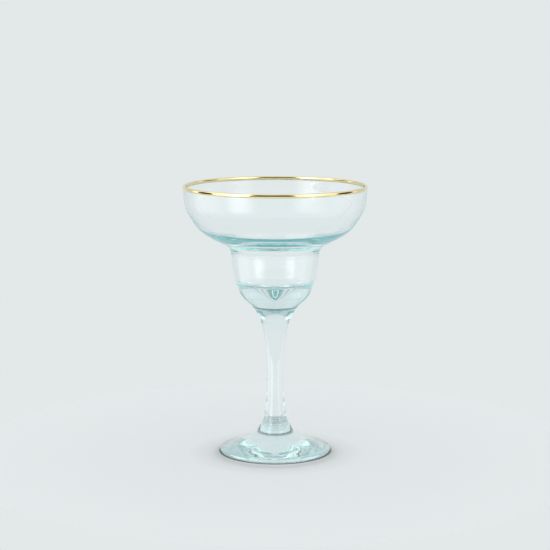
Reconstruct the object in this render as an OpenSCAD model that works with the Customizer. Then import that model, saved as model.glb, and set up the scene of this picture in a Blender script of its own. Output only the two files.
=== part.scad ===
// Margarita glass: a blown bowl, a pressed stem and a pressed foot,
// fused end to end, with a film of gold fired round the lip.
// Millimetres, Z up. The origin is the centre of the resting plane.

/* [Saucer] */
// Diameter of the glass at the lip
rim_d = 116; // [104:0.5:128]
// Height from the throat up to the lip
saucer_h = 40; // [34:0.5:46]
// Glass thickness at the lip
lip_t = 1.8; // [1.4:0.1:2.4]
// Height of the saucer's floor over the throat, where it turns down into the well
saucer_floor_t = 3; // [2.4:0.1:3.6]

/* [Well] */
// Outer diameter of the well just below the throat
well_d = 55.2; // [50:0.2:60]
// Height from the stem joint up to the throat
well_h = 36.5; // [33:0.5:42]
// Glass thickness of the well wall
well_wall_t = 3.1; // [2.4:0.1:4]
// Solid glass between the stem joint and the floor of the well
bowl_bottom_t = 14.3; // [13:0.1:17]
// Diameter of the pointed dimple in the floor of the well
dimple_d = 18; // [14:0.5:20]
// Depth of the dimple
dimple_deep = 6; // [4.5:0.1:8]

/* [Stem] */
// Length of the stem between its two joints
stem_h = 73; // [60:0.5:90]
// Diameter at the narrowest place
stem_d = 10; // [9:0.1:13]
// Diameter of the joint between the stem and the bowl
neck_d = 29.7; // [26:0.1:33]
// Diameter of the joint between the stem and the foot
stem_base_d = 14.6; // [13.6:0.1:17]

/* [Foot] */
// Diameter of the foot
foot_d = 70.4; // [64:0.2:80]
// Height from the table to the stem joint
foot_h = 21.5; // [18:0.1:25]
// Diameter of the hub where it meets the disc
hub_d = 24; // [22:0.1:28]
// Thickness of the disc at the hub
disc_h = 12; // [10:0.1:14]
// Thickness of the rounded edge of the disc
foot_edge_t = 2.7; // [2:0.1:3.6]
// Width of the ring that the foot stands on
ring_w = 5.5; // [3:0.1:9]
// Depth of the hollow inside that ring
kick_deep = 0.8; // [0.5:0.1:2]

/* [Gilding] */
// Height of the gold film, the same outside and inside the lip
gild_h = 2.2; // [1.4:0.1:4]
// Thickness of the gold film
gild_t = 0.15; // [0.08:0.01:0.3]

/* [Hidden] */
$fn = 128;

// Points to each span of a curve, and to each half turn of the lip
span_steps = 4;
lip_steps = 10;

rim_r = rim_d / 2;
lip_r = lip_t / 2;
well_r = well_d / 2;
neck_r = neck_d / 2;
stem_r = stem_d / 2;
stem_base_r = stem_base_d / 2;
foot_r = foot_d / 2;
hub_r = hub_d / 2;
kick_r = foot_r - ring_w;
edge_r = foot_edge_t / 2;
dimple_r = dimple_d / 2;
cavity_r = well_r - well_wall_t;
rim_inner_r = rim_r - lip_t;

// Levels from the table up
neck_z = foot_h + stem_h;
throat_z = neck_z + well_h;
glass_h = throat_z + saucer_h;
gild_z = glass_h - gild_h;
saucer_floor_z = throat_z + saucer_floor_t;
floor_z = neck_z + bowl_bottom_t;
apex_z = floor_z - dimple_deep;

// Control points as [across, up] shares. Each table runs from 0 at its
// lower or inner size to 1 at its upper or outer one.
well_shares = [[0, 0], [0.29, 0.08], [0.54, 0.18], [0.78, 0.37], [0.94, 0.64], [1, 0.89]];
saucer_shares = [[0.03, 0], [0.14, 0.075], [0.44, 0.175], [0.685, 0.3], [0.815, 0.45],
    [0.955, 0.625], [0.985, 0.775]];
dimple_shares = [[0, 0], [0.15, 0.02], [0.45, 0.3], [0.95, 0.97], [1.08, 1]];
cavity_shares = [[0.6, 0], [0.83, 0], [0.915, 0.03], [0.935, 0.15], [0.955, 0.36],
    [0.985, 0.61], [0.995, 0.815], [1, 1]];
floor_shares = [[0, 0], [0.055, 0.045], [0.175, 0.08], [0.33, 0.13], [0.49, 0.19],
    [0.69, 0.27], [0.825, 0.435], [0.957, 0.613], [0.984, 0.762]];
stem_low_shares = [[1, 0], [0.74, 0.1], [0.72, 0.27], [0.15, 0.5], [0, 1]];
stem_high_shares = [[0.04, 0.33], [0.18, 0.61], [0.37, 0.78], [0.65, 0.9], [1, 1]];
hub_shares = [[0, 1], [0.105, 0.84], [0.335, 0.62], [0.765, 0.275], [1, 0]];
disc_shares = [[0.15, 0.82], [0.38, 0.555], [0.62, 0.28], [0.84, 0.145]];
kick_shares = [[1, 0], [0.965, 0.25], [0.84, 0.8], [0.42, 1], [0, 1]];

// Height of the narrowest place, as a share of the stem
waist_share = 0.335;
// Angle at which the top of the disc runs into its rounded edge
edge_angle = 75;
// Length of that run, as a share of the disc's width
edge_run_share = 0.05;

// A point at [across, up] shares of the box from [r0, z0] to [r1, z1]
function placed(share, r0, r1, z0, z1) =
    [r0 + share[0] * (r1 - r0), z0 + share[1] * (z1 - z0)];

function run(shares, r0, r1, z0, z1) = [for (s = shares) placed(s, r0, r1, z0, z1)];

// Smooth curve that is drawn towards its control points and starts and
// ends on the first and the last of them
function blend4(a, b, c, d, t) =
    (pow(1 - t, 3) * a + (3 * pow(t, 3) - 6 * t * t + 4) * b
    + (3 * t + 3 * t * t - 3 * pow(t, 3) + 1) * c + pow(t, 3) * d) / 6;

function smooth(points) =
    let (first = points[0], last = points[len(points) - 1])
    let (before = 2 * first - points[1], after = 2 * last - points[len(points) - 2])
    let (held = concat([before], points, [after]))
    concat([for (i = [0 : len(held) - 4], k = [0 : span_steps - 1])
        blend4(held[i], held[i + 1], held[i + 2], held[i + 3], k / span_steps)], [last]);

function arc(centre, radius, from, to, steps) =
    [for (k = [0 : steps])
        let (a = from + (to - from) * k / steps)
        centre + radius * [cos(a), sin(a)]];

function reversed(points) = [for (i = [len(points) - 1 : -1 : 0]) points[i]];

lip_centre = [rim_r - lip_r, glass_h - lip_r];

// Outside of the bowl, from the stem joint up to the lower edge of the gilding
bowl_low_points = run(well_shares, neck_r, well_r, neck_z, throat_z);
saucer_points = run(saucer_shares, well_r, rim_r, throat_z, glass_h);
bowl_outside = smooth(concat(bowl_low_points, saucer_points, [[rim_r, gild_z]]));

// Inside of the bowl, from the point of the dimple up to the same level
dimple_points = run(dimple_shares, 0, dimple_r, apex_z, floor_z);
cavity_points = run(cavity_shares, 0, cavity_r, floor_z, throat_z);
floor_points = run(floor_shares, cavity_r, rim_inner_r, saucer_floor_z, glass_h);
bowl_inside = smooth(concat(dimple_points, cavity_points, floor_points,
    [[rim_inner_r, gild_z]]));

stem_waist_z = foot_h + waist_share * stem_h;
stem_outside = smooth(concat(
    run(stem_low_shares, stem_r, stem_base_r, foot_h, stem_waist_z),
    run(stem_high_shares, stem_r, neck_r, stem_waist_z, neck_z)));

edge_centre = [foot_r - edge_r, edge_r];
edge_start = edge_centre + edge_r * [cos(edge_angle), sin(edge_angle)];
edge_run = edge_run_share * (foot_r - hub_r);
edge_lead = edge_start + edge_run * [-sin(edge_angle), cos(edge_angle)];
foot_top = smooth(concat(
    run(hub_shares, stem_base_r, hub_r, disc_h, foot_h),
    run(disc_shares, hub_r, foot_r, foot_edge_t, disc_h),
    [edge_lead, edge_start]));
foot_under = smooth(run(kick_shares, 0, kick_r, 0, kick_deep));

// Blown bowl: a wide saucer over a narrow well with a thick floor
module bowl() {
    color("#cfe6ea", 0.5)
    rotate_extrude()
    polygon(concat(
        [[0, neck_z]],
        bowl_outside,
        arc(lip_centre, lip_r, 0, 180, lip_steps),
        reversed(bowl_inside)));
}

// Pressed stem, flared at the top to the full width of the bowl's neck
module stem() {
    color("#dbe8e8", 0.6)
    rotate_extrude()
    polygon(concat([[0, foot_h]], stem_outside, [[0, neck_z]]));
}

// Pressed foot: a disc that rises to a hub, hollowed a little underneath
module foot() {
    color("#c2dfe2", 0.6)
    rotate_extrude()
    polygon(concat(
        [[0, foot_h]],
        foot_top,
        arc(edge_centre, edge_r, edge_angle, -90, lip_steps),
        foot_under));
}

// Fired gold over the lip and a little way down both of its sides
module rim_gilding() {
    color("#c9a648")
    rotate_extrude()
    polygon(concat(
        [[rim_r + gild_t, gild_z]],
        arc(lip_centre, lip_r + gild_t, 0, 180, lip_steps),
        [[rim_inner_r - gild_t, gild_z], [rim_inner_r, gild_z]],
        arc(lip_centre, lip_r, 180, 0, lip_steps),
        [[rim_r, gild_z]]));
}

bowl();
stem();
foot();
rim_gilding();
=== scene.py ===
# Margarita glass: a blown bowl, a pressed stem and a pressed foot fused into
# one body of pale blue-green glass, with a film of gold fired round its lip.
from math import cos, pi, radians, sin

import bmesh
import bpy
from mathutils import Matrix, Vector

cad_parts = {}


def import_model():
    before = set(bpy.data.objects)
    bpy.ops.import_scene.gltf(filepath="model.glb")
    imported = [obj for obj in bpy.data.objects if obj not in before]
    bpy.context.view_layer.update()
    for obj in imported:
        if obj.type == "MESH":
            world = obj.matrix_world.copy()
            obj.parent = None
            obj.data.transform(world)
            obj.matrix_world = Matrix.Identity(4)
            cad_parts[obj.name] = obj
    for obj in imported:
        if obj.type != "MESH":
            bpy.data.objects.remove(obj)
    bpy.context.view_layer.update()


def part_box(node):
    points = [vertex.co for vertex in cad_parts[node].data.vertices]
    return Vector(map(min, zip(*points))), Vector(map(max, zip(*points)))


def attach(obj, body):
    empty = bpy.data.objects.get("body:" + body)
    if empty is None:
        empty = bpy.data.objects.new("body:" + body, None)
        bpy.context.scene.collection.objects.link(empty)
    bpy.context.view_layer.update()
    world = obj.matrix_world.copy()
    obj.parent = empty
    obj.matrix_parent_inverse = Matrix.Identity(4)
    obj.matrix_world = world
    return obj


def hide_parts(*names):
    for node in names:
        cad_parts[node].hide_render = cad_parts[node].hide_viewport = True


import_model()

MM = 0.001


# Foot
# A disc of pressed glass with a rounded edge. It rises to a hub in the middle
# and is hollowed a little underneath, so it stands on the ring round its edge.
FOOT_R, _, FOOT_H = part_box("foot")[1]
STEM_BASE_R = 7.3 * MM
HUB_R = 12 * MM
DISC_H = 12 * MM
FOOT_EDGE_T = 2.7 * MM
RING_W = 5.5 * MM
KICK_DEEP = 0.8 * MM
EDGE_ANGLE = 75
EDGE_RUN_SHARE = 0.05
HUB_SHARES = [(0, 1), (0.105, 0.84), (0.335, 0.62), (0.765, 0.275), (1, 0)]
DISC_SHARES = [(0.15, 0.82), (0.38, 0.555), (0.62, 0.28), (0.84, 0.145)]
KICK_SHARES = [(1, 0), (0.965, 0.25), (0.84, 0.8), (0.42, 1), (0, 1)]
SPAN_STEPS = 10
LIP_STEPS = 14


def run(shares, r0, r1, z0, z1):
    """Control points at [across, up] shares of a box in the section."""
    return [(r0 + a * (r1 - r0), z0 + b * (z1 - z0)) for a, b in shares]


def smooth(points):
    """A curve drawn towards its control points, from the first to the last."""
    def beyond(end, inner):
        return (2 * end[0] - inner[0], 2 * end[1] - inner[1])

    held = [beyond(points[0], points[1])] + points + [beyond(points[-1], points[-2])]
    curve = []
    for i in range(len(held) - 3):
        for k in range(SPAN_STEPS):
            t = k / SPAN_STEPS
            weights = ((1 - t) ** 3, 3 * t ** 3 - 6 * t * t + 4,
                       1 + 3 * t + 3 * t * t - 3 * t ** 3, t ** 3)
            curve.append(tuple(
                sum(w * held[i + n][axis] for n, w in enumerate(weights)) / 6
                for axis in (0, 1)))
    return curve + [points[-1]]


def arc(centre, radius, start, stop):
    """Points of an arc, with its angles in degrees."""
    angles = [radians(start + (stop - start) * k / LIP_STEPS) for k in range(LIP_STEPS + 1)]
    return [(centre[0] + radius * cos(a), centre[1] + radius * sin(a)) for a in angles]


def foot_outline():
    """From the stem joint over the hub and disc and back under to the axis."""
    edge_r = FOOT_EDGE_T / 2
    edge = arc((FOOT_R - edge_r, edge_r), edge_r, EDGE_ANGLE, -90)
    lead_length = EDGE_RUN_SHARE * (FOOT_R - HUB_R)
    lead = (edge[0][0] - lead_length * sin(radians(EDGE_ANGLE)),
            edge[0][1] + lead_length * cos(radians(EDGE_ANGLE)))
    top = smooth(run(HUB_SHARES, STEM_BASE_R, HUB_R, DISC_H, FOOT_H)
                 + run(DISC_SHARES, HUB_R, FOOT_R, FOOT_EDGE_T, DISC_H)
                 + [lead, edge[0]])
    under = smooth(run(KICK_SHARES, 0, FOOT_R - RING_W, 0, KICK_DEEP))
    return top + edge[1:] + under


# Stem
# Solid pressed glass, narrowest a third of the way up. It is fused to the hub
# of the foot below and flares to the full width of the bowl's neck above.
NECK_R, _, NECK_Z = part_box("stem")[1]
STEM_R = 5 * MM
WAIST_SHARE = 0.335
STEM_LOW_SHARES = [(1, 0), (0.74, 0.1), (0.72, 0.27), (0.15, 0.5), (0, 1)]
STEM_HIGH_SHARES = [(0.04, 0.33), (0.18, 0.61), (0.37, 0.78), (0.65, 0.9), (1, 1)]


def stem_outline():
    """From the joint with the foot up to the joint with the bowl."""
    waist_z = FOOT_H + WAIST_SHARE * (NECK_Z - FOOT_H)
    return smooth(run(STEM_LOW_SHARES, STEM_R, STEM_BASE_R, FOOT_H, waist_z)
                  + run(STEM_HIGH_SHARES, STEM_R, NECK_R, waist_z, NECK_Z))


# Bowl
# Blown glass: a wide saucer over a narrow well. The glass is thin at the lip
# and thick in the floor of the well, which ends in a pointed dimple.
RIM_R, _, GLASS_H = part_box("bowl")[1]
GILD_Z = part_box("rim_gilding")[0][2]
THROAT_Z = 131 * MM
WELL_R = 27.6 * MM
LIP_T = 1.8 * MM
SAUCER_FLOOR_T = 3 * MM
WELL_WALL_T = 3.1 * MM
BOTTOM_T = 14.3 * MM
DIMPLE_R = 9 * MM
DIMPLE_DEEP = 6 * MM
WELL_SHARES = [(0, 0), (0.29, 0.08), (0.54, 0.18), (0.78, 0.37), (0.94, 0.64), (1, 0.89)]
SAUCER_SHARES = [(0.03, 0), (0.14, 0.075), (0.44, 0.175), (0.685, 0.3), (0.815, 0.45),
                 (0.955, 0.625), (0.985, 0.775)]
DIMPLE_SHARES = [(0, 0), (0.15, 0.02), (0.45, 0.3), (0.95, 0.97), (1.08, 1)]
CAVITY_SHARES = [(0.6, 0), (0.83, 0), (0.915, 0.03), (0.935, 0.15), (0.955, 0.36),
                 (0.985, 0.61), (0.995, 0.815), (1, 1)]
FLOOR_SHARES = [(0, 0), (0.055, 0.045), (0.175, 0.08), (0.33, 0.13), (0.49, 0.19),
                (0.69, 0.27), (0.825, 0.435), (0.957, 0.613), (0.984, 0.762)]
LIP_CENTRE = (RIM_R - LIP_T / 2, GLASS_H - LIP_T / 2)


def bowl_outline():
    """From the point of the dimple up inside, over the lip and down outside."""
    outside = smooth(run(WELL_SHARES, NECK_R, WELL_R, NECK_Z, THROAT_Z)
                     + run(SAUCER_SHARES, WELL_R, RIM_R, THROAT_Z, GLASS_H)
                     + [(RIM_R, GILD_Z)])
    floor_z = NECK_Z + BOTTOM_T
    cavity_r = WELL_R - WELL_WALL_T
    inside = smooth(run(DIMPLE_SHARES, 0, DIMPLE_R, floor_z - DIMPLE_DEEP, floor_z)
                    + run(CAVITY_SHARES, 0, cavity_r, floor_z, THROAT_Z)
                    + run(FLOOR_SHARES, cavity_r, RIM_R - LIP_T,
                          THROAT_Z + SAUCER_FLOOR_T, GLASS_H)
                    + [(RIM_R - LIP_T, GILD_Z)])
    return inside + arc(LIP_CENTRE, LIP_T / 2, 180, 0) + outside[::-1]


# Fused glass
# Bowl, stem and foot flow together at their joints while they are hot, so
# the glass is one closed body, turned from one outline about its axis.
STEPS_AROUND = 128
WELD = 0.002 * MM


def add_node(tree, kind, **settings):
    """A node of one kind, with its own settings."""
    node = tree.nodes.new(kind)
    for name, value in settings.items():
        setattr(node, name, value)
    return node


def stock_node(tree, kind):
    """The node of one kind that a new tree comes with."""
    return next(node for node in tree.nodes if node.type == kind)


def feed(tree, node, inputs):
    """Join or set a node's inputs, given by name or by number. It hands back
    the node's first output."""
    for key, value in inputs.items():
        if isinstance(value, bpy.types.NodeSocket):
            tree.links.new(value, node.inputs[key])
        else:
            node.inputs[key].default_value = value
    return node.outputs[0] if node.outputs else None


def maths(tree, operation, *values):
    """The result of one operation on up to three values."""
    return feed(tree, add_node(tree, "ShaderNodeMath", operation=operation),
                dict(enumerate(values)))


def lathe_tree():
    """A tree that turns an outline of points about the Z axis."""
    tree = bpy.data.node_groups.new("lathe", "GeometryNodeTree")
    for name, kind in (("Outline", "Geometry"), ("Outline Points", "Int"),
                       ("Steps Around", "Int"), ("Weld Distance", "Float"),
                       ("Finish", "Material")):
        tree.interface.new_socket(name, in_out="INPUT", socket_type="NodeSocket" + kind)
    tree.interface.new_socket("Turned Piece", in_out="OUTPUT",
                              socket_type="NodeSocketGeometry")
    given = add_node(tree, "NodeGroupInput").outputs
    points = given["Outline Points"]
    steps = given["Steps Around"]
    grid = feed(tree, add_node(tree, "GeometryNodeMeshGrid"),
                {"Size X": 1, "Size Y": 1,
                 "Vertices X": maths(tree, "ADD", steps, 1), "Vertices Y": points})
    index = add_node(tree, "GeometryNodeInputIndex").outputs[0]
    column = maths(tree, "FLOOR", maths(tree, "DIVIDE", index, points))
    row = maths(tree, "SUBTRACT", index, maths(tree, "MULTIPLY", column, points))
    point = feed(tree, add_node(tree, "GeometryNodeSampleIndex", data_type="FLOAT_VECTOR"),
                 {"Geometry": given["Outline"], "Index": row,
                  "Value": add_node(tree, "GeometryNodeInputPosition").outputs[0]})
    angle = maths(tree, "DIVIDE", maths(tree, "MULTIPLY", column, 2 * pi), steps)
    turned = feed(tree, add_node(tree, "ShaderNodeVectorRotate", rotation_type="Z_AXIS"),
                  {"Vector": point, "Angle": angle})
    shape = feed(tree, add_node(tree, "GeometryNodeSetPosition"),
                 {"Geometry": grid, "Position": turned})
    shape = feed(tree, add_node(tree, "GeometryNodeMergeByDistance"),
                 {"Geometry": shape, "Distance": given["Weld Distance"]})
    for kind in ("GeometryNodeSetShadeSmooth", "GeometryNodeRealizeInstances"):
        shape = feed(tree, add_node(tree, kind), {"Geometry": shape})
    shape = feed(tree, add_node(tree, "GeometryNodeSetMaterial"),
                 {"Geometry": shape, "Material": given["Finish"]})
    feed(tree, add_node(tree, "NodeGroupOutput"), {"Turned Piece": shape})
    return tree


LATHE = lathe_tree()


def turn(name, outline, finish):
    """A closed piece, turned from an outline in the section."""
    mesh = bpy.data.meshes.new(name + "_outline")
    mesh.from_pydata([(r, 0, z) for r, z in outline], [], [])
    source = bpy.data.objects.new(name + "_outline", mesh)
    bpy.context.scene.collection.objects.link(source)
    modifier = source.modifiers.new("lathe", "NODES")
    modifier.node_group = LATHE
    sizes = {"Outline Points": len(outline), "Steps Around": STEPS_AROUND,
             "Weld Distance": WELD, "Finish": finish}
    for socket in LATHE.interface.items_tree:
        if socket.name in sizes:
            modifier[socket.identifier] = sizes[socket.name]
    turned = source.evaluated_get(bpy.context.evaluated_depsgraph_get())
    piece_mesh = bpy.data.meshes.new_from_object(turned)
    piece_mesh.name = name
    bpy.data.objects.remove(source)
    bpy.data.meshes.remove(mesh)
    bm = bmesh.new()
    bm.from_mesh(piece_mesh)
    bmesh.ops.recalc_face_normals(bm, faces=bm.faces)
    bm.to_mesh(piece_mesh)
    bm.free()
    piece = bpy.data.objects.new(name, piece_mesh)
    bpy.context.scene.collection.objects.link(piece)
    return piece


# The clear glass itself, and the tint that shows where it is thick
GLASS_INDEX = 1.5
GLASS_FACE = (0.98, 0.998, 1)
GLASS_TINT = (0.36, 0.80, 0.82)
GLASS_TINT_DENSITY = 6
# Light that stands in for the mirror reflections that the render leaves out:
# its colour at heights in millimetres, the number of reflections after which
# it is added, and how it varies from place to place. Above the disc of the
# foot it is added only where a face mirrors all of a ray.
GLOW = [(0, (0.27, 0.32, 0.32)), (8, (0.27, 0.32, 0.32)),
        (13, (0.37, 0.39, 0.38)), (25, (0.37, 0.39, 0.38)),
        (32, (0.16, 0.30, 0.30)), (92, (0.16, 0.30, 0.30)),
        (97, (0.42, 0.52, 0.52)), (112, (0.42, 0.52, 0.52)),
        (115, (0.11, 0.27, 0.29)), (120, (0.08, 0.22, 0.23)),
        (135, (0.08, 0.22, 0.23)), (171, (0.11, 0.27, 0.29))]
GLOW_AFTER = 3
MIRRORS_ALL = 0.99
DISC_GLOW_FADE = (13 * MM, 9 * MM)
SWIRL = (0.7, 1.3)
SWIRL_SCALE = 90
SWIRL_DETAIL = 2
SWIRL_TWIST = 2
# The dark line at the joint of stem and bowl, in millimetres from the joint
SEAM_FACE = (0.25, 0.33, 0.31)
SEAM_BAND = (-1.6, -0.6, 0, 0.5)
# Painted shade: the stem, and the floor of the well as the neck shows it,
# darken the rays that they mirror: the stem after its first reflection. Their
# heights are in millimetres.
SHADED_FACE = (0.25, 0.42, 0.42)
STEM_SHADED_AFTER = 1
STEM_BAND = (26, 32, 94, 95)
WELL_FLOOR_BAND = (100, 101, 110, 112)
WELL_FLOOR_SHADE = 0.65
# The faint unevenness that pressing leaves in the foot
RIPPLE_SCALE = 70
RIPPLE_DETAIL = 1
RIPPLE_DEEP = 0.35 * MM
RIPPLE_FADE = (18 * MM, 10 * MM)
# Nearly all values of a noise lie between these two
NOISE_SPAN = (0.35, 0.65)


def new_material(name):
    """A new material and its tree."""
    material = bpy.data.materials.new(name)
    material.use_nodes = True
    return material, material.node_tree


def rgba(tone, share=1):
    """A colour as a socket takes it, made lighter or darker by a share."""
    return (*(share * c for c in tone), 1)


def mixed(tree, amount, under, over, blend="MIX"):
    """One colour laid over another by an amount from 0 to 1."""
    node = add_node(tree, "ShaderNodeMix", data_type="RGBA", blend_type=blend)
    feed(tree, node, {0: amount, 6: under, 7: over})
    return node.outputs[2]


def mapped(tree, value, start, stop, low=0, high=1, change="LINEAR"):
    """A value taken from one range to another and held at both ends."""
    return feed(tree, add_node(tree, "ShaderNodeMapRange", interpolation_type=change),
                {0: value, 1: start, 2: stop, 3: low, 4: high})


def eased(tree, value, start, stop):
    """A soft change from 0 at start to 1 at stop."""
    return mapped(tree, value, start, stop, change="SMOOTHSTEP")


def band(tree, value, start, full, end, gone):
    """1 from full to end, with a soft change to 0 at start and at gone."""
    return maths(tree, "MULTIPLY", eased(tree, value, start, full),
                 eased(tree, value, gone, end))


def more_than(tree, count, limit):
    """1 where a whole count is above a limit."""
    return maths(tree, "GREATER_THAN", count, limit + 0.5)


def at_most(tree, count, limit):
    """1 where a whole count is no more than a limit."""
    return maths(tree, "LESS_THAN", count, limit + 0.5)


def noise(tree, place, scale, detail, twist=0):
    """Soft random greys about a half."""
    return feed(tree, add_node(tree, "ShaderNodeTexNoise"),
                {"Vector": place, "Scale": scale, "Detail": detail, "Distortion": twist})


def fade(tree, reach, table):
    """Colours or greys that change with a distance, from pairs of millimetres
    and tone."""
    furthest = table[-1][0]
    ramp = add_node(tree, "ShaderNodeValToRGB")
    feed(tree, ramp, {0: maths(tree, "DIVIDE", reach, furthest * MM)})
    stops = ramp.color_ramp.elements
    stops.remove(stops[1])
    stops[0].position = table[0][0] / furthest
    for at, _ in table[1:]:
        stops.new(at / furthest)
    for stop, (_, tone) in zip(stops, table):
        stop.color = rgba(tone if isinstance(tone, tuple) else (tone, tone, tone))
    return ramp.outputs[0]


def stand_in_light(tree, path, place, height):
    """Colour and strength of the light that is added deep in the glass."""
    mirror = feed(tree, add_node(tree, "ShaderNodeFresnel"), {"IOR": GLASS_INDEX})
    let_out = maths(tree, "MAXIMUM", maths(tree, "GREATER_THAN", mirror, MIRRORS_ALL),
                    eased(tree, height, *DISC_GLOW_FADE))
    held = maths(tree, "MULTIPLY", more_than(tree, path["Glossy Depth"], GLOW_AFTER),
                 let_out)
    swirl = mapped(tree, noise(tree, place, SWIRL_SCALE, SWIRL_DETAIL, SWIRL_TWIST),
                   *NOISE_SPAN, *SWIRL)
    return fade(tree, height, GLOW), maths(tree, "MULTIPLY", held, swirl)


def face_tone(tree, path, height):
    """The tone of the glass at its faces: clear, with the line at the joint, and
    painted shade on mirrored rays in the stem and the floor of the well."""
    seam = band(tree, height, *(NECK_Z + h * MM for h in SEAM_BAND))
    clear = mixed(tree, seam, rgba(GLASS_FACE), rgba(SEAM_FACE))
    # Painted shade for rays mirrored in the stem and seen in the well's floor
    in_stem = band(tree, height, *(h * MM for h in STEM_BAND))
    painted_shade = maths(tree, "MULTIPLY", in_stem,
                 more_than(tree, path["Glossy Depth"], STEM_SHADED_AFTER))
    from_neck = maths(tree, "MULTIPLY", more_than(tree, path["Glossy Depth"], 0),
                      at_most(tree, path["Transmission Depth"], 1))
    at_floor = band(tree, height, *(h * MM for h in WELL_FLOOR_BAND))
    painted_shade = maths(tree, "MULTIPLY_ADD", maths(tree, "MULTIPLY", from_neck, at_floor),
                 WELL_FLOOR_SHADE, painted_shade)
    return mixed(tree, painted_shade, clear, rgba(SHADED_FACE))


def tinted_glass():
    """Clear pale glass whose colour shows where it is thick, with a painted glow deep
    inside and painted shade at the stem and the well's floor.
    """
    material, tree = new_material("tinted_glass")
    path = add_node(tree, "ShaderNodeLightPath").outputs
    place = add_node(tree, "ShaderNodeTexCoord").outputs["Object"]
    split = add_node(tree, "ShaderNodeSeparateXYZ")
    feed(tree, split, {"Vector": place})
    height = split.outputs["Z"]
    glow, strength = stand_in_light(tree, path, place, height)
    ripple = feed(tree, add_node(tree, "ShaderNodeBump"),
                  {"Height": noise(tree, place, RIPPLE_SCALE, RIPPLE_DETAIL),
                   "Strength": eased(tree, height, *RIPPLE_FADE),
                   "Distance": RIPPLE_DEEP})
    feed(tree, stock_node(tree, "BSDF_PRINCIPLED"),
         {"Roughness": 0, "IOR": GLASS_INDEX, "Transmission Weight": 1,
          "Base Color": face_tone(tree, path, height), "Normal": ripple,
          "Emission Color": glow, "Emission Strength": strength})
    tint = feed(tree, add_node(tree, "ShaderNodeVolumeAbsorption"),
                {"Color": rgba(GLASS_TINT), "Density": GLASS_TINT_DENSITY})
    feed(tree, stock_node(tree, "OUTPUT_MATERIAL"), {"Volume": tint})
    return material


glass = turn("glass_body", bowl_outline() + stem_outline()[-2:0:-1] + foot_outline(),
             tinted_glass())
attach(glass, "root")
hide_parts("bowl", "stem", "foot")


# Rim gilding
# A film of bright gold, brushed on the lip and fired. It wraps the lip and
# runs about two millimetres down both of its sides.
GILD_T = 0.12 * MM
GILD_SINK = 0.03 * MM
GOLD_THIN = (0.80, 0.66, 0.33)
GOLD_FULL = (0.90, 0.80, 0.47)
GOLD_ROUGH = (0.08, 0.03)
BRUSH_STRETCH = (1, 1, 14)
BRUSH_SCALE = 110
BRUSH_DETAIL = 3


def gilding_outline():
    """A closed loop round the film, which sinks a hair into the glass."""
    half = LIP_T / 2
    outer = ([(RIM_R + GILD_T, GILD_Z)]
             + arc(LIP_CENTRE, half + GILD_T, 0, 180)
             + [(RIM_R - LIP_T - GILD_T, GILD_Z)])
    inner = ([(RIM_R - LIP_T + GILD_SINK, GILD_Z)]
             + arc(LIP_CENTRE, half - GILD_SINK, 180, 0)
             + [(RIM_R - GILD_SINK, GILD_Z)])
    return outer + inner + outer[:1]


def fired_gold():
    """Bright gold film, with the faint streaks that the brush left round the
    lip: a little deeper and a little duller where the film is thin."""
    material, tree = new_material("fired_gold")
    place = add_node(tree, "ShaderNodeTexCoord").outputs["Object"]
    along = feed(tree, add_node(tree, "ShaderNodeVectorMath", operation="MULTIPLY"),
                 {0: place, 1: BRUSH_STRETCH})
    full = mapped(tree, noise(tree, along, BRUSH_SCALE, BRUSH_DETAIL), *NOISE_SPAN)
    feed(tree, stock_node(tree, "BSDF_PRINCIPLED"),
         {"Metallic": 1,
          "Base Color": mixed(tree, full, rgba(GOLD_THIN), rgba(GOLD_FULL)),
          "Roughness": mapped(tree, full, 0, 1, *GOLD_ROUGH)})
    return material


gilding = turn("gold_rim", gilding_outline(), fired_gold())
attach(gilding, "root")
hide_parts("rim_gilding")


# Studio
# A round pale table that melts into the backdrop, a pale room with soft panels
# on both sides, and the camera in front and a little above.
TABLE_R = 200 * MM
TABLE_DROP = 0.05 * MM
TABLE_TONE = (0.806, 0.845, 0.853)
TABLE_LIGHT = (1, 1, 1)
# Tones of the table's painted shadow at millimetres from its middle, which leans
# towards the camera, lighter under the foot as painted light; and of the painted
# contact shadow at millimetres from the middle of the foot
SHADE_LEAN = -5.5 * MM
PAINTED_SHADOW_AND_POOL = [(20, 1.2), (28, 1.1), (35, 0.76), (37, 0.77), (41, 0.89), (44, 0.93),
         (56, 1), (70, 1)]
CONTACT_SHADOW = [(32.9, 1), (34.1, 0.28), (35.5, 0.38), (36.5, 1), (70, 1)]
# The room as the glass and the gold mirror it. Its brightness, as a share of
# the backdrop's, is given in front for outer faces and for faces behind a
# first wall, and then at the back. Angles are in degrees, round from the front
# with the right as plus, and up from level.
BACKDROP = (0.768, 0.807, 0.815)
ROOM_FRONT = 1.4
ROOM_BEHIND = 1.5
ROOM_BACK = 0.98
FRONT_EDGE = 110
FRONT_SOFT = 20
# Faces passed by a ray that enters the glass, is mirrored in it and leaves it
FACES_IN_AND_OUT = 2
# Each panel's two edges and its brightness, and how much of it shows in a face
# behind a first wall and in a face from inside the glass
SOFT_PANELS = [(72, 118, 1.3), (-118, -72, 2.2), (34, 60, 2.6), (-60, -34, 4.6)]
PANEL_LOW = -26
PANEL_HIGH = 55
PANEL_SOFT_ROUND = 12
PANEL_SOFT_UP = 8
PANEL_SHARE_BEHIND = 0.45
PANEL_SHARE_INSIDE = 0.05
# Each dark zone's two edges, their softness, its lowest and its highest angle
DARK_ZONES = [(-33, 24, 4, -24, 60), (84, 112, 4, -30, 30), (-112, -84, 4, -30, 30)]
DARK_SOFT_UP = 3
STUDIO_DARK = (0.10, 0.07, 0.035)
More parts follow.
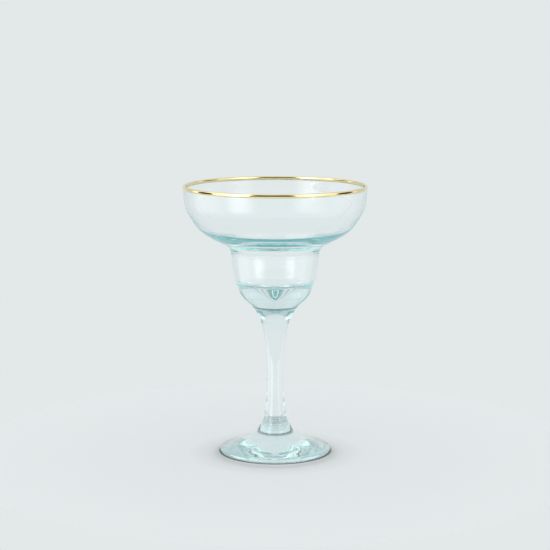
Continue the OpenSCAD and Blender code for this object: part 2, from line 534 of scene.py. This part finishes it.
# Two tall lamps in front, one to each side, for highlights alone
SOFTBOX_AT = (1.1, -0.7, 0.7)
SOFTBOX_SIZE = (0.1, 0.5)
SOFTBOX_POWER = 0.3
SOFTBOX_AIM_Z = 0.1
CAMERA_AT = (-0.000125, -1.05437, 0.27741)
CAMERA_DOWN = 8.82
CAMERA_LENS = 110.3


def distance(tree, place):
    """How far a place is from the origin."""
    length = add_node(tree, "ShaderNodeVectorMath", operation="LENGTH")
    feed(tree, length, {0: place})
    return length.outputs["Value"]


def table_paper():
    """Even pale paper, with a painted soft shadow that is lighter under the foot,
    and a painted dark contact shadow round the foot."""
    material, tree = new_material("table_paper")
    place = add_node(tree, "ShaderNodeTexCoord").outputs["Object"]
    leant = feed(tree, add_node(tree, "ShaderNodeVectorMath", operation="SUBTRACT"),
                 {0: place, 1: (0, SHADE_LEAN, 0)})
    # Painted shadow, lighter under the foot, and painted contact shadow round it
    painted_shading = mixed(tree, 1, fade(tree, distance(tree, leant), PAINTED_SHADOW_AND_POOL),
                  fade(tree, distance(tree, place), CONTACT_SHADOW), "MULTIPLY")
    paper = feed(tree, add_node(tree, "ShaderNodeBsdfDiffuse"),
                 {"Color": mixed(tree, 1, rgba(TABLE_TONE), painted_shading, "MULTIPLY")})
    feed(tree, stock_node(tree, "OUTPUT_MATERIAL"), {"Surface": paper})
    return material


def table():
    """The surface that the glass stands on, a hair below the foot."""
    bm = bmesh.new()
    bmesh.ops.create_circle(bm, cap_ends=True, segments=STEPS_AROUND, radius=TABLE_R)
    mesh = bpy.data.meshes.new("table")
    bm.to_mesh(mesh)
    bm.free()
    mesh.materials.append(table_paper())
    obj = bpy.data.objects.new("table", mesh)
    obj.location.z = -TABLE_DROP
    bpy.context.scene.collection.objects.link(obj)


def sector(tree, angle, start, stop, soft):
    """A band of directions with soft edges, given in degrees."""
    return band(tree, angle, radians(start - soft), radians(start + soft),
                radians(stop - soft), radians(stop + soft))


def mirrored_room(tree, path):
    """The studio as mirrored rays meet it: two soft panels on each side, a
    bright front and the pale backdrop behind. The panels weaken for rays that
    have been deeper in the glass. The gold, whose mirror is a little blurred,
    also meets a dark front and a dark gap at each side."""
    split = add_node(tree, "ShaderNodeSeparateXYZ")
    feed(tree, split, {"Vector": add_node(tree, "ShaderNodeTexCoord").outputs["Generated"]})
    x, y, z = split.outputs
    round_angle = maths(tree, "ARCTAN2", x, maths(tree, "MULTIPLY", y, -1))
    up_angle = maths(tree, "ARCSINE", z)
    faces = path["Transmission Depth"]
    first = at_most(tree, path["Glossy Depth"], 1)
    inside = maths(tree, "MULTIPLY", first,
                   maths(tree, "COMPARE", faces, FACES_IN_AND_OUT))
    skin = maths(tree, "SUBTRACT", first, inside)
    behind = maths(tree, "MULTIPLY", skin, more_than(tree, faces, 0))
    ahead = mixed(tree, behind, rgba(BACKDROP, ROOM_FRONT), rgba(BACKDROP, ROOM_BEHIND))
    front = sector(tree, round_angle, -FRONT_EDGE, FRONT_EDGE, FRONT_SOFT)
    room = mixed(tree, maths(tree, "MULTIPLY", front, skin),
                 rgba(BACKDROP, ROOM_BACK), ahead)
    weaker = maths(tree, "MULTIPLY", behind, 1 - PANEL_SHARE_BEHIND)
    panel_share = maths(tree, "MAXIMUM", maths(tree, "SUBTRACT", skin, weaker),
                        PANEL_SHARE_INSIDE)
    panel_rise = sector(tree, up_angle, PANEL_LOW, PANEL_HIGH, PANEL_SOFT_UP)
    for start, stop, brightness in SOFT_PANELS:
        panel = maths(tree, "MULTIPLY", panel_rise,
                      sector(tree, round_angle, start, stop, PANEL_SOFT_ROUND))
        room = mixed(tree, maths(tree, "MULTIPLY", panel, panel_share), room,
                     rgba((brightness,) * 3))
    blurred = maths(tree, "SUBTRACT", 1, path["Is Singular Ray"])
    for start, stop, soft, low, high in DARK_ZONES:
        zone = maths(tree, "MULTIPLY", sector(tree, round_angle, start, stop, soft),
                     sector(tree, up_angle, low, high, DARK_SOFT_UP))
        room = mixed(tree, maths(tree, "MULTIPLY", zone, blurred), room,
                     rgba(STUDIO_DARK))
    return room


def world():
    """An even pale backdrop where it is seen straight or through the glass,
    the room for mirrored rays, and plain light for the table."""
    studio = bpy.data.worlds.new("studio")
    studio.use_nodes = True
    tree = studio.node_tree
    path = add_node(tree, "ShaderNodeLightPath").outputs
    backdrop = feed(tree, stock_node(tree, "BACKGROUND"), {"Color": rgba(BACKDROP)})
    room = feed(tree, add_node(tree, "ShaderNodeBackground"),
                {"Color": mirrored_room(tree, path)})
    light = feed(tree, add_node(tree, "ShaderNodeBackground"),
                 {"Color": rgba(TABLE_LIGHT)})
    seen = feed(tree, add_node(tree, "ShaderNodeMixShader"),
                {0: more_than(tree, path["Glossy Depth"], 0), 1: backdrop, 2: room})
    met = feed(tree, add_node(tree, "ShaderNodeMixShader"),
               {0: more_than(tree, path["Diffuse Depth"], 0), 1: seen, 2: light})
    feed(tree, stock_node(tree, "OUTPUT_WORLD"), {"Surface": met})
    bpy.context.scene.world = studio


def softbox(name, side):
    """A tall lamp that faces the glass and doesn't light the table."""
    data = bpy.data.lights.new(name, "AREA")
    data.shape = "RECTANGLE"
    data.size, data.size_y = SOFTBOX_SIZE
    data.energy = SOFTBOX_POWER
    lamp = bpy.data.objects.new(name, data)
    bpy.context.scene.collection.objects.link(lamp)
    lamp.location = (side * SOFTBOX_AT[0], *SOFTBOX_AT[1:])
    aim = lamp.location.copy()
    aim.z -= SOFTBOX_AIM_Z
    lamp.rotation_euler = aim.to_track_quat("Z", "Y").to_euler()
    lamp.visible_diffuse = False


def camera():
    """The camera at the photograph's angle."""
    data = bpy.data.cameras.new("camera")
    data.lens = CAMERA_LENS
    eye = bpy.data.objects.new("camera", data)
    bpy.context.scene.collection.objects.link(eye)
    eye.location = CAMERA_AT
    eye.rotation_euler = (radians(90 - CAMERA_DOWN), 0, 0)
    bpy.context.scene.camera = eye


table()
world()
softbox("softbox_left", -1)
softbox("softbox_right", 1)
camera()
bpy.context.scene.view_settings.view_transform = "Standard"
